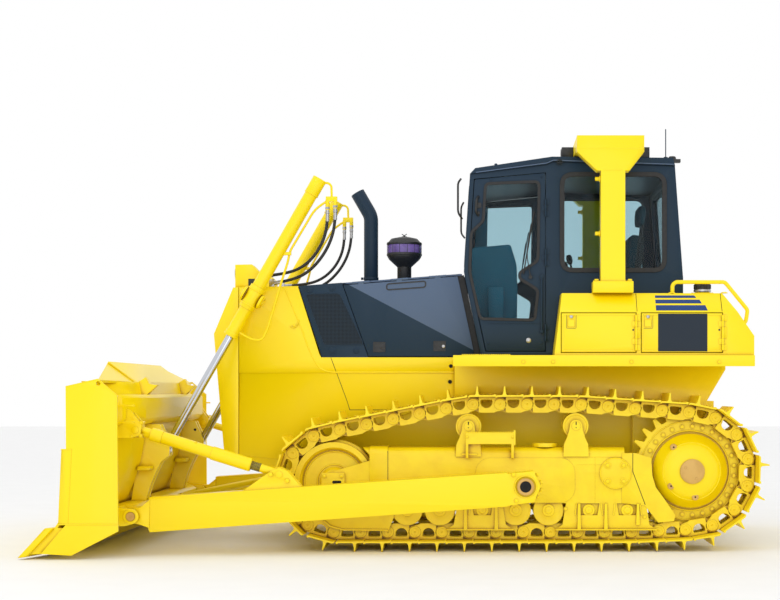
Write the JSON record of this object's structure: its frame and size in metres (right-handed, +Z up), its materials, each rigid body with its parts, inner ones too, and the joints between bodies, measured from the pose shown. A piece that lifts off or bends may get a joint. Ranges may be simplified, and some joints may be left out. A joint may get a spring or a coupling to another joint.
{
  "type": "crawler bulldozer",
  "caption": "Crawler bulldozer with a wide semi-U blade on push arms, lift cylinders, enclosed cab, roll-over frame and oval steel tracks.",
  "frame": {"origin": "centre of the machine's overall length and width, on the ground under the track shoes", "axes": "+X forward towards the blade, +Y to the operator's left, +Z up"},
  "size_m": [5.4056, 3.46, 3.238],
  "materials": {
    "machine_yellow": "gloss",
    "slate_paint": "satin",
    "tinted_glass": "gloss",
    "dark_steel": "satin",
    "chrome_rod": "polished",
    "hose_rubber": "matte",
    "seat_fabric": "matte",
    "console_plastic": "matte",
    "bare_casting": "matte",
    "zinc_fitting": "satin"
  },
  "bodies": {
    "chassis": {"main_frame": "machine_yellow", "hitch": "machine_yellow", "engine_block": "bare_casting", "body_sides": "machine_yellow", "radiator_guard": "machine_yellow", "front_grille": "dark_steel", "radiator_core": "dark_steel", "hood": "slate_paint", "exhaust_pipe": "slate_paint", "precleaner": "dark_steel", "cab_frame": "slate_paint", "cab_roof": "slate_paint", "cab_glass": "tinted_glass", "seat": "seat_fabric", "console": "console_plastic", "rops_frame": "machine_yellow", "roof_lamps": "dark_steel", "work_lamps": "slate_paint", "sprockets": "machine_yellow", "final_drives": "machine_yellow", "idlers": "machine_yellow", "track_rollers": "machine_yellow", "carrier_rollers": "machine_yellow", "track_steps": "machine_yellow", "handrails": "machine_yellow", "fuel_cap": "dark_steel", "hose_fittings": "zinc_fitting", "track_left": "machine_yellow", "track_right": "machine_yellow", "track_frame_left": "machine_yellow", "track_frame_right": "machine_yellow", "fender_left": "machine_yellow", "fender_right": "machine_yellow", "hose_outer_left": "hose_rubber", "hose_outer_right": "hose_rubber", "hose_inner_left": "hose_rubber", "hose_inner_right": "hose_rubber"},
    "push_frame": {"blade": "machine_yellow", "cutting_edge": "machine_yellow", "brace_left": "machine_yellow", "tilt_cylinder": "machine_yellow", "diagonal_braces": "machine_yellow", "push_arm_left": "machine_yellow", "push_arm_right": "machine_yellow"},
    "cab_door_left_body": {"cab_door_left": "slate_paint", "door_glass_left": "tinted_glass"},
    "hood_door_left_body": {"hood_door_left": "slate_paint"},
    "locker_front_left_body": {"locker_front_left": "machine_yellow"},
    "locker_rear_left_body": {"locker_rear_left": "machine_yellow"},
    "lift_barrel_left_body": {"lift_barrel_left": "machine_yellow"},
    "lift_rod_left_body": {"lift_rod_left": "chrome_rod"},
    "cab_door_right_body": {"cab_door_right": "slate_paint", "door_glass_right": "tinted_glass"},
    "hood_door_right_body": {"hood_door_right": "slate_paint"},
    "locker_front_right_body": {"locker_front_right": "machine_yellow"},
    "locker_rear_right_body": {"locker_rear_right": "machine_yellow"},
    "lift_barrel_right_body": {"lift_barrel_right": "machine_yellow"},
    "lift_rod_right_body": {"lift_rod_right": "chrome_rod"}
  },
  "joints": [
    {"name": "blade_lift", "type": "hinge", "parent": "chassis", "child": "push_frame", "pos_m": [-0.91, 0, 0.498], "axis": [0, -1, 0], "range_deg": [-7, 17.5]},
    {"name": "barrel_swing_left", "type": "hinge", "parent": "chassis", "child": "lift_barrel_left_body", "pos_m": [1.18, 0.712, 1.913], "axis": [0, -1, 0], "range_deg": [-7.5, 18.5], "deforming": ["hose_outer_left", "hose_inner_left"]},
    {"name": "rod_slide_left", "type": "slide", "parent": "lift_barrel_left_body", "child": "lift_rod_left_body", "axis": [0.4953, 0, -0.8687], "range_m": [-0.78, 0.31]},
    {"name": "cab_door_swing_left", "type": "hinge", "parent": "chassis", "child": "cab_door_left_body", "pos_m": [-1.082, 0.7595, 2.12], "axis": [0, 0, 1], "range_deg": [0, 90]},
    {"name": "hood_door_lift_left", "type": "hinge", "parent": "chassis", "child": "hood_door_left_body", "pos_m": [0.501, 0.594, 2.02801], "axis": [0.9971, 0, -0.0758], "range_deg": [0, 75]},
    {"name": "locker_front_swing_left", "type": "hinge", "parent": "chassis", "child": "locker_front_left_body", "pos_m": [-1.739, 1.1595, 1.625], "axis": [0, 0, 1], "range_deg": [0, 90]},
    {"name": "locker_rear_swing_left", "type": "hinge", "parent": "chassis", "child": "locker_rear_left_body", "pos_m": [-2.382, 1.1595, 1.625], "axis": [0, 0, 1], "range_deg": [0, 90]},
    {"name": "barrel_swing_right", "type": "hinge", "parent": "chassis", "child": "lift_barrel_right_body", "pos_m": [1.18, -0.712, 1.913], "axis": [0, -1, 0], "range_deg": [-7.5, 18.5], "deforming": ["hose_outer_right", "hose_inner_right"]},
    {"name": "rod_slide_right", "type": "slide", "parent": "lift_barrel_right_body", "child": "lift_rod_right_body", "axis": [0.4953, 0, -0.8687], "range_m": [-0.78, 0.31]},
    {"name": "cab_door_swing_right", "type": "hinge", "parent": "chassis", "child": "cab_door_right_body", "pos_m": [-1.082, -0.7595, 2.12], "axis": [0, 0, -1], "range_deg": [0, 90]},
    {"name": "hood_door_lift_right", "type": "hinge", "parent": "chassis", "child": "hood_door_right_body", "pos_m": [0.501, -0.594, 2.02801], "axis": [-0.9971, 0, 0.0758], "range_deg": [0, 75]},
    {"name": "locker_front_swing_right", "type": "hinge", "parent": "chassis", "child": "locker_front_right_body", "pos_m": [-1.739, -1.1595, 1.625], "axis": [0, 0, -1], "range_deg": [0, 90]},
    {"name": "locker_rear_swing_right", "type": "hinge", "parent": "chassis", "child": "locker_rear_right_body", "pos_m": [-2.382, -1.1595, 1.625], "axis": [0, 0, -1], "range_deg": [0, 90]}
  ],
  "couplings": [
    {"joint": "barrel_swing_left", "follows": "blade_lift", "ratio": 1.04},
    {"joint": "rod_slide_left", "follows": "blade_lift", "m_per_rad": -2.51},
    {"joint": "barrel_swing_right", "follows": "blade_lift", "ratio": 1.04},
    {"joint": "rod_slide_right", "follows": "blade_lift", "m_per_rad": -2.51}
  ]
}
